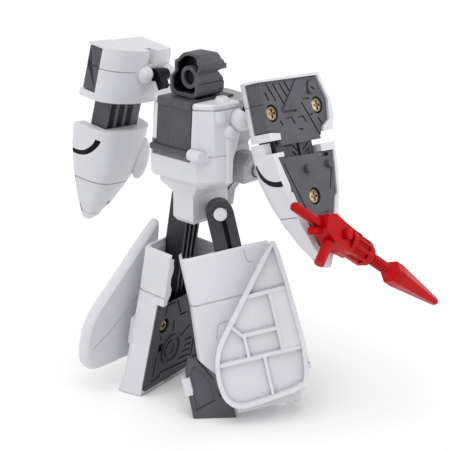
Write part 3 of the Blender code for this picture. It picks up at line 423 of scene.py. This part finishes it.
def new_piece(name, shape, limb, body, material, edge):
    """A part of the looks only, that rides on a CAD body."""
    place(shape, limb)
    finish_piece(shape, name, material, edge)
    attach(shape, body)
    return shape


def place_black_paint_or_shade(name, shape, limb, body):
    """A thin black sheet: painted shade at the bottom of a slot or inside a hollow, and real black paint
    on a painted band.
    """
    new_piece(name, shape, limb, body, "black", BLACK_SHEET_EDGE)


def weld(piece):
    """Join the corners that the exchange format keeps apart."""
    bm = bmesh.new()
    bm.from_mesh(piece.data)
    bmesh.ops.remove_doubles(bm, verts=bm.verts, dist=0.0005)
    bm.to_mesh(piece.data)
    bm.free()
    normals = piece.data.attributes.get("custom_normal")
    if normals:
        piece.data.attributes.remove(normals)


def copy_of(node):
    """A free copy of a CAD node, in millimetres."""
    piece = frame["nodes"][node].copy()
    piece.data = piece.data.copy()
    piece.parent = None
    bpy.context.scene.collection.objects.link(piece)
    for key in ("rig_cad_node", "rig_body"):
        if key in piece:
            del piece[key]
    for vert in piece.data.vertices:
        vert.co /= MM
    weld(piece)
    return piece


def engraved(node, limb, material, cutters, edge, extras=(), smooth=True):
    """A copy of a CAD node with grooves cut into it and raised details joined to it."""
    piece = copy_of(node)
    if extras:
        combine(piece, [place(extra, limb) for extra in extras], "UNION")
    if cutters:
        combine(piece, [place(cutter, limb) for cutter in cutters], "DIFFERENCE")
    finish_piece(piece, node + "_detail", material, edge, smooth)
    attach(piece, BODY_OF[node])
    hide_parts(node)


# ---------------------------------------------------------------- screws
SCREW_HOLE = 2.75
SCREW_SEAT = -0.6
SCREW_PROFILE = [(0.0, 2.38), (0.9, 2.38), (1.2, 2.1), (1.38, 1.2)]
CROSS_REACH, CROSS_HALF = 1.5, 0.34


def cross_screw(spot):
    """A pan head with a cross recess; spot is its y and z."""
    y, z = spot
    low, high = SCREW_SEAT + 0.05, SCREW_SEAT + 2.0
    head = turned((SCREW_SEAT - 0.9, y, z), (1, 0, 0), SCREW_PROFILE, 28)
    bars = [box((low, y - CROSS_REACH, z - CROSS_HALF), (high, y + CROSS_REACH, z + CROSS_HALF)),
            box((low, y - CROSS_HALF, z - CROSS_REACH), (high, y + CROSS_HALF, z + CROSS_REACH))]
    pit = rod((SCREW_SEAT + 0.1, y, z), (high, y, z), 0.55, 12)
    return combine(head, bars + [pit], "DIFFERENCE")


def swap_screw(node, limb, spot):
    piece = new_piece(node + "_head", cross_screw(spot), limb, BODY_OF[node], "brass", 0.05)
    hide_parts(node)


def screw_hole(spot):
    """The cutter for the round recess that a screw head sits in."""
    return rod((-1.1, *spot), (2.0, *spot), SCREW_HOLE, 28)


# ---------------------------------------------------------------- arms
# A groove is its width and depth, and how far its cutter stands out where that is not the usual.
ARM_FACE = -0.1
ARM_GROOVE = (0.55, 0.42)
ARM_GROOVES = [
    [(-2.2, -3.3), (-3.3, -6.0)], [(-3.4, -0.9), (-6.6, -6.5)], [(-6.4, -1.0), (-10.0, -7.7)],
    [(-9.4, -1.0), (-12.0, -5.7)], [(-11.9, -1.0), (-13.7, -4.0)], [(-8.5, -10.2), (-15.3, -10.3)],
    [(-18.2, -7.8), (-24.8, -19.8)], [(-21.0, -12.3), (-22.8, -12.2)], [(-18.8, -7.1), (-22.4, -7.2)],
    [(-6.6, -12.6), (-7.7, -14.1)], [(-9.7, -12.1), (-12.4, -12.1), (-13.4, -14.2)],
    [(-15.3, -12.4), (-17.8, -12.4), (-19.0, -14.3)], [(-25.0, -13.5), (-26.5, -16.0)],
    [(-14.6, -16.0), (-16.8, -16.4)], [(-21.3, -4.0), (-22.0, -5.4), (-23.0, -6.0)]]
DISC_FACE = 0.35
DISC_GROOVE = (0.6, 0.5)
DISC_SLOT = [(-23.6, -3.7), (-25.3, -4.8)]
PLATE_STEP = ((-7.0, -0.45, -6.95), (-0.1, 1.0, -6.7))
SEAM_WIDTH = 0.7
TOP_SEAM = [(-5.2, -0.1), (-5.6, 0.0), (-8.6, -1.5), (-11.4, -5.4), (-13.0, -10.6)]
TOP_SEAM_LEVELS = (-7.15, -6.9)
LINK_FACE = -2.4
LINK_GROOVE = (0.55, 0.45)
LINK_GROOVES = [
    [(-12.5, -20.3), (-14.7, -22.5)], [(-12.3, -22.6), (-13.8, -23.7), (-13.7, -24.9)],
    [(-20.3, -20.8), (-17.6, -22.4)], [(-18.2, -23.4), (-20.2, -22.7), (-19.6, -25.3)],
    [(-8.8, -20.2), (-12.0, -20.5)]]
LINK_SLOTS = (-18.2, -13.6, -9.0)
FOREARM_FACE = 0.1
FOREARM_GROOVE = (0.45, 0.32)
FOREARM_GROOVES = [[(-4.4, -25.6), (-12.0, -43.8)], [(-26.8, -29.6), (-24.0, -36.6)],
                   [(-21.0, -43.2), (-16.8, -43.2)]]
FOREARM_SECTIONS = [(-22.0, 0.2, -30.0, 13.6), (-30.0, -0.9, -29.4, 13.8), (-38.0, -3.6, -27.6, 12.6),
                    (-45.0, -6.4, -25.0, 10.4), (-52.0, -9.8, -21.6, 7.4), (-57.0, -12.6, -18.8, 4.6)]
STRIPE_DROP = {RIGHT: -22.9, LEFT: -23.8}
STRIPE_RADII = (9.5, 7.8)
ARM_SCREWS = ((-3.6, -9.9), (-25.6, -9.7))
FOREARM_SCREW = (-16.0, -37.5)


def forearm_ring(level, back, front, depth, grow):
    """One D-shaped section of the half cone, as in the CAD source."""
    middle = (back + front) / 2
    half = (back - front) / 2 + grow
    points = [(0.6, back + grow, level)]
    for step in range(13):
        angle = math.pi * step / 12
        cosine = math.copysign(abs(math.cos(angle)) ** 0.65, math.cos(angle))
        reach = (depth + grow) * abs(math.sin(angle)) ** 0.7
        points.append((-reach, middle + half * cosine, level))
    points.append((0.6, front - grow, level))
    return points


def forearm_skin(grow, deep):
    """The forearm's outer surface, grown, as a hoop that reaches the given depth below it."""
    skin = loft([forearm_ring(*section, grow) for section in FOREARM_SECTIONS])
    core = loft([forearm_ring(*section, -deep) for section in FOREARM_SECTIONS])
    return combine(skin, [core], "DIFFERENCE")


def skin_band(deep, low, high):
    """The cutter for a shallow band round the forearm, between two levels."""
    return combine(forearm_skin(0.5, deep), [box((-20.0, -40.0, low), (0.4, 10.0, high))], "INTERSECT")


def forearm_stripe(side):
    """The black painted band that curves over the forearm's back."""
    centre = (-0.8, STRIPE_DROP[side])
    outer, inner = (arc(centre, radius, 193, 375, 30) for radius in STRIPE_RADII)
    skin = combine(forearm_skin(0.05, 0.25), [prism(outer + inner[::-1], "Y", -14.0, 4.0)], "INTERSECT")
    return combine(skin, [box((-20.0, -40.0, -40.0), (0.55, 10.0, -22.25))], "INTERSECT")


def forearm_seams():
    """The joint line round the forearm, the shallow step above its tip and the hole beside it."""
    return [skin_band(0.35, -42.75, -42.4), skin_band(0.16, -57.0, -53.4),
            rod((-8.6, -17.2, -52.2), (-5.6, -16.8, -51.0), 0.95, 20)]


def detail_upper_arm(side):
    word, limb = WORDS[side], ARM[side]
    cutters = [line("X", ARM_FACE, path, *ARM_GROOVE) for path in ARM_GROOVES]
    cutters += [screw_hole(spot) for spot in ARM_SCREWS]
    cutters += [line("X", DISC_FACE, DISC_SLOT, *DISC_GROOVE), box(*PLATE_STEP)]
    engraved("upper_arm_plate_" + word, limb, "grey", cutters, PLATE_EDGE, smooth=False)
    seam = prism(ribbon(TOP_SEAM, SEAM_WIDTH), "Z", *TOP_SEAM_LEVELS)
    notch = rod((-4.0, -13.0, 1.2), (2.0, -13.0, 1.2), 1.3, 20)
    engraved("upper_arm_shell_" + word, limb, "white", [seam, notch], SHELL_EDGE)
    for number, spot in enumerate(ARM_SCREWS, 1):
        swap_screw(f"arm_screw_{number}_{word}", limb, spot)
    grooves = [line("X", LINK_FACE, path, *LINK_GROOVE) for path in LINK_GROOVES]
    engraved("elbow_link_" + word, limb, "grey", grooves, PLATE_EDGE, smooth=False)


def detail_forearm(side):
    word, limb = WORDS[side], FOREARM[side]
    cutters = [line("X", FOREARM_FACE, path, *FOREARM_GROOVE) for path in FOREARM_GROOVES]
    cutters.append(screw_hole(FOREARM_SCREW))
    engraved("forearm_plate_" + word, limb, "grey", cutters, PLATE_EDGE, smooth=False)
    swap_screw("forearm_screw_" + word, limb, FOREARM_SCREW)
    engraved("forearm_shell_" + word, limb, "white", forearm_seams(), 0.2)
    place_black_paint_or_shade("forearm_stripe_" + word, forearm_stripe(side), limb, "forearm_" + word)


def paint_link_slot_shade(side):
    """Painted shade: black sheets at the bottoms of the elbow link's three slots."""
    word = WORDS[side]
    for number, y in enumerate(LINK_SLOTS, 1):
        shade_sheet = box((-8.9, y + 0.02, -30.9), (-7.9, y + 2.78, -19.6))
        place_black_paint_or_shade(f"link_slot_shade_{number}_{word}", shade_sheet, ARM[side], "upper_arm_" + word)


# ---------------------------------------------------------------- legs
SHIN_FACE = -6.3
SHIN_GROOVE = (0.6, -0.45, -0.6)
SHIN_GROOVES = [
    [(13.0, -36.3), (12.6, -32.3), (7.7, -32.3)], [(6.5, -31.9), (3.4, -37.6)],
    [(3.6, -38.6), (-0.8, -38.8)], [(6.8, -39.8), (6.8, -44.2)], [(1.8, -47.9), (-4.1, -45.0)],
    [(-2.0, -50.4), (-6.3, -50.8)], [(-2.1, -52.8), (-6.4, -53.1)], [(-1.2, -55.0), (-5.9, -55.3)],
    [(0.4, -57.2), (-5.0, -57.5), (-7.6, -58.5)], [(-7.8, -51.9), (-7.7, -58.0)],
    [(13.8, -43.7), (14.1, -45.4)], [(15.1, -51.6), (16.0, -59.3)],
    [(16.6, -60.7), (12.0, -60.2), (11.0, -58.8), (-3.6, -59.7), (-11.8, -60.0)]]
SHIN_DISH = (6.6, -51.1)
SHIN_SCREW = (12.9, -40.0)
CALF_FACE = 4.2
CALF_GROOVE = (0.4, 0.25)
CALF_GROOVES = [[(-4.6, -13.0), (-5.2, -17.3), (-6.8, -17.8)],
                [(10.7, -40.6), (9.1, -35.9), (5.9, -35.4)]]
CALF_MOUTH = [(-9.0, 15.6), (1.6, 15.6), (2.9, 14.2), (2.9, -11.8), (1.6, -13.4), (-9.0, -13.4)]
CALF_OPENING = [(14.0, -8.0), (14.0, -15.6), (13.4, -17.2), (13.6, -19.2), (14.4, -21.0),
                (14.2, -23.4), (13.2, -25.4), (13.4, -27.8), (14.6, -29.6), (14.8, -31.05),
                (-12.0, -31.05), (-12.0, -8.0)]
CALF_CORNER = [(-9.6, -8.0), (-9.6, -12.2), (-13.0, -16.6), (-20.0, -17.4), (-20.0, -8.0)]
# Corners of the black sheets of painted shade inside the calf.
CALF_SHADE_SHEETS = [((-6.6, 13.0, -31.0), (2.5, 13.15, -15.0)), ((2.4, -10.8, -31.0), (2.55, 13.1, -17.6)),
              ((-6.6, -10.8, -31.0), (2.5, 13.1, -30.85)),
              ((SHIN_FACE + 1.0, 12.3, -49.9), (SHIN_FACE + 1.15, 14.5, -46.9))]
STRUT_GROOVES = (-3.5, -0.85, 1.8)
WING_FACE = 7.0
WING_GROOVE = (0.35, -0.25, -0.6)
WING_LINE = [(10.3, -55.5), (2.0, -49.3), (-8.8, -38.8), (-12.6, -34.6)]


def shin_dish():
    """The raised round rim on the shin plate."""
    down = (-1, 0, 0)
    dish = turned((SHIN_FACE + 0.3, *SHIN_DISH), down, [(0.0, 5.7), (0.75, 5.6)], 36)
    bowl = turned((SHIN_FACE + 0.6, *SHIN_DISH), down, [(0.0, 4.5), (1.6, 5.0)], 36)
    return combine(dish, [bowl], "DIFFERENCE")


def detail_shin(side):
    word, limb = WORDS[side], SHIN[side]
    cutters = [line("X", SHIN_FACE, path, *SHIN_GROOVE) for path in SHIN_GROOVES]
    cutters.append(rod((SHIN_FACE - 1.0, *SHIN_SCREW), (SHIN_FACE + 3.0, *SHIN_SCREW), SCREW_HOLE, 28))
    engraved("shin_plate_" + word, limb, "dull", cutters, PLATE_EDGE, [shin_dish()], smooth=False)
    cutters = [line("X", CALF_FACE, path, *CALF_GROOVE) for path in CALF_GROOVES]
    cutters += [prism(CALF_MOUTH, "Z", -14.0, -8.0), prism(CALF_OPENING, "X", -9.0, 2.6),
                prism(CALF_CORNER, "X", -9.0, 3.4)]
    engraved("shin_shell_" + word, limb, "white", cutters, 0.18)


def screw_shadow():
    """The unlit ring round the shin's sunken screw."""
    outer = rod((SHIN_FACE + 0.75, *SHIN_SCREW), (SHIN_FACE + 0.95, *SHIN_SCREW), 2.72, 28)
    inner = rod((SHIN_FACE, *SHIN_SCREW), (SHIN_FACE + 3.0, *SHIN_SCREW), 2.05, 28)
    return combine(outer, [inner], "DIFFERENCE")


def paint_calf_shade(side):
    """Painted shade: black sheets on the unlit walls inside the calf, and the unlit ring round the sunken
    screw.
    """
    word = WORDS[side]
    calf_sheets = [box(low, high) for low, high in CALF_SHADE_SHEETS] + [screw_shadow()]
    for number, sheet in enumerate(calf_sheets, 1):
        place_black_paint_or_shade(f"calf_shade_{number}_{word}", sheet, SHIN[side], "shin_" + word)


def paint_strut_shade(side):
    """Painted shade: black sheets at the bottoms of the thigh strut's keyhole and grooves."""
    word = WORDS[side]
    slot = box((1.62, -1.38, -29.9), (1.95, 0.08, -2.0))
    place_black_paint_or_shade("strut_slot_shade_" + word, slot, LEG[side], "thigh_" + word)
    for number, y in enumerate(STRUT_GROOVES, 1):
        shade_sheet = box((-2.6, y + 0.02, -40.9), (-2.05, y + 1.68, -5.7))
        place_black_paint_or_shade(f"strut_groove_shade_{number}_{word}", shade_sheet, LEG[side], "thigh_" + word)


def detail_wing(side):
    """The long joint line across the wing's smooth side."""
    groove = line("X", WING_FACE, WING_LINE, *WING_GROOVE)
    engraved("wing_" + WORDS[side], WING[side], "white", [groove], 0.2)


# ---------------------------------------------------------------- torso and head
TORSO_SEAM = ((12.4, 10.4), (14.65, 7.4), (16.1, 2.7), (16.15, 0.6))
TORSO_SEAM_LEVELS = (89.75, 90.1)
VENT_BARS = (12.9, 13.9, 14.9)
HELMET_MIDDLE = 114.4
HELMET_FLOOR = 108.65
HELMET_HALF = [(4.6, 107.5), (6.0, 108.3), (6.4, 109.6), (6.4, 113.2), (5.3, 115.1), (6.0, 116.6),
               (6.1, 118.4), (4.9, 119.1), (4.6, 119.9), (3.4, 121.0), (1.4, 121.6)]
HELMET_REAR = [(6.2, 107.0), (6.2, 113.4), (5.1, 115.0), (4.5, 116.5), (4.2, 118.3), (3.4, 119.5),
               (2.7, 121.0), (-5.0, 121.0), (-5.0, 107.0)]
RING_LEVEL = 113.4


def detail_torso():
    seams = []
    for side in SIDES:
        path = [(side * x, y) for x, y in TORSO_SEAM]
        seams.append(prism(ribbon(path, SEAM_WIDTH), "Z", *TORSO_SEAM_LEVELS))
    engraved("torso_shell", TORSO, "white", seams, SHELL_EDGE)


def helmet_outline(scale):
    """The helmet's hollow seen from behind, in x and z, as in the CAD source."""
    outline = [(x * scale, max(HELMET_MIDDLE + (z - HELMET_MIDDLE) * scale, HELMET_FLOOR))
               for x, z in HELMET_HALF]
    return outline + [(-x, z) for x, z in reversed(outline)]


def paint_helmet_shade():
    """Painted shade: black sheets lining the helmet's hollow, round its ring, and at the bottom of the
    ring's bore.
    """
    hollow_shade = prism(helmet_outline(0.827), "Y", 1.62, 6.6)
    room = prism([(x, z + 0.15) for x, z in helmet_outline(0.79)], "Y", 1.9, 7.0)
    ring = rod((0.0, 0.0, RING_LEVEL), (0.0, 7.0, RING_LEVEL), 3.8, 32)
    combine(hollow_shade, [room, ring], "DIFFERENCE")
    combine(hollow_shade, [prism(HELMET_REAR, "X", -9.0, 9.0)], "INTERSECT")
    place_black_paint_or_shade("helmet_hollow_shade", hollow_shade, TORSO, "head")
    bore = rod((0.0, 1.62, RING_LEVEL), (0.0, 3.5, RING_LEVEL), 2.45, 32)
    place_black_paint_or_shade("ring_bore_shade", bore, TORSO, "head")


def detail_nacelle(side):
    """Raised bars in the panel on top of the engine box."""
    bars = []
    for near in VENT_BARS:
        far = near + 0.45
        corners = [Vector((side * x, y, z)) for x, y, z in
                   ((near, -5.75, 86.6), (far, -5.75, 86.6), (far, -6.6, 87.5), (near, -6.6, 87.5))]
        low, high = Vector((0.0, -0.35, -0.35)), Vector((0.0, 0.12, 0.12))
        bars.append(loft([[corner + low for corner in corners], [corner + high for corner in corners]]))
    engraved("nacelle_" + WORDS[side], TORSO, "silver", [], 0.15, bars, smooth=False)


# ---------------------------------------------------------------- nodes shown as they are
PLAIN = {"silver": ("chest_front", "pelvis_front", "turbine", "face_plate"),
         "white": ("pelvis", "wing_slide", "hip_pin", "heel_clip"),
         "brushed": ("back_flap",),
         "grey": ("head_shell", "heel_flap"),
         "dull": ("thigh_strut",),
         "black": ("shoulder_link",),
         "brass": ("arm_screw", "forearm_screw", "shin_screw"),
         "red": ("visor", "gun")}


def finish_of(node):
    """The material of the longest name in the table that the node's own name starts with."""
    fits = [(len(stem), material) for material, stems in PLAIN.items() for stem in stems
            if node.startswith(stem)]
    return max(fits)[1]


def dress_nodes():
    shown = [node for node in frame["nodes"] if bpy.data.objects.get(node + "_detail") is None]
    for node in sorted(shown):
        piece = frame["nodes"][node]
        for slot in piece.material_slots:
            slot.material = MATERIALS[finish_of(node)]
        round_edges(piece, 0.08 if "screw" in node else 0.18)


# ---------------------------------------------------------------- stage
FLOOR_REACH = 6.0
FLOOR_DROP = 0.0002
CAMERA_SPOT = Vector((-324.2, 312.2, 208.2))
CAMERA_AIM = Vector((-6.0, -6.0, 62.0))


def pale_floor():
    material, tree, shader = new_material("pale_floor")
    coords = tree.nodes.new("ShaderNodeTexCoord").outputs["Object"]
    cloud = noise_of(tree, coords, 6.0, 2.0)
    pale = ramp(tree, cloud.outputs["Fac"], grey4(0.955), grey4(0.97))
    tree.links.new(pale, shader.inputs["Base Color"])
    shader.inputs["Roughness"].default_value = 0.9
    shader.inputs["Specular IOR Level"].default_value = 0.1
    mesh = bpy.data.meshes.new("floor")
    corners = [(x * FLOOR_REACH, y * FLOOR_REACH, 0) for x, y in ((-1, -1), (1, -1), (1, 1), (-1, 1))]
    mesh.from_pydata(corners, [], [(0, 1, 2, 3)])
    mesh.materials.append(material)
    floor = bpy.data.objects.new("floor", mesh)
    bpy.context.scene.collection.objects.link(floor)
    floor.location.z = -FLOOR_DROP


def soft_sun(name, direction, strength, spread):
    """A far, wide light: even over the whole floor, with soft shadows."""
    data = bpy.data.lights.new(name, "SUN")
    data.energy = strength
    data.angle = math.radians(spread)
    lamp = bpy.data.objects.new(name, data)
    bpy.context.scene.collection.objects.link(lamp)
    lamp.location = Vector(direction)
    lamp.rotation_euler = (-Vector(direction)).to_track_quat("-Z", "Y").to_euler()


def studio():
    world = bpy.data.worlds.new("studio")
    bpy.context.scene.world = world
    world.use_nodes = True
    back = world.node_tree.nodes["Background"]
    back.inputs["Color"].default_value = (1.0, 1.0, 1.0, 1.0)
    back.inputs["Strength"].default_value = 0.72
    soft_sun("key", (-0.25, 0.35, 1.0), 1.25, 50.0)
    soft_sun("side", (-1.0, -0.6, 0.12), 0.55, 40.0)
    bpy.context.scene.view_settings.view_transform = "Standard"
    bpy.context.scene.view_settings.look = "None"


def camera():
    data = bpy.data.cameras.new("camera")
    data.lens = 112.0
    data.sensor_width = 36.0
    data.clip_start = 0.02
    data.clip_end = 20.0
    item = bpy.data.objects.new("camera", data)
    bpy.context.scene.collection.objects.link(item)
    spot = (CAMERA_SPOT + OFFSET) * MM
    target = (CAMERA_AIM + OFFSET) * MM
    item.location = spot
    item.rotation_euler = (target - spot).to_track_quat("-Z", "Y").to_euler()
    bpy.context.scene.camera = item


# ---------------------------------------------------------------- the whole kit
for kit_side in SIDES:
    detail_upper_arm(kit_side)
    detail_forearm(kit_side)
    paint_link_slot_shade(kit_side)
for kit_side in SIDES:
    detail_shin(kit_side)
    paint_calf_shade(kit_side)
    paint_strut_shade(kit_side)
    detail_wing(kit_side)
detail_torso()
paint_helmet_shade()
for kit_side in SIDES:
    detail_nacelle(kit_side)
dress_nodes()
pale_floor()
studio()
camera()
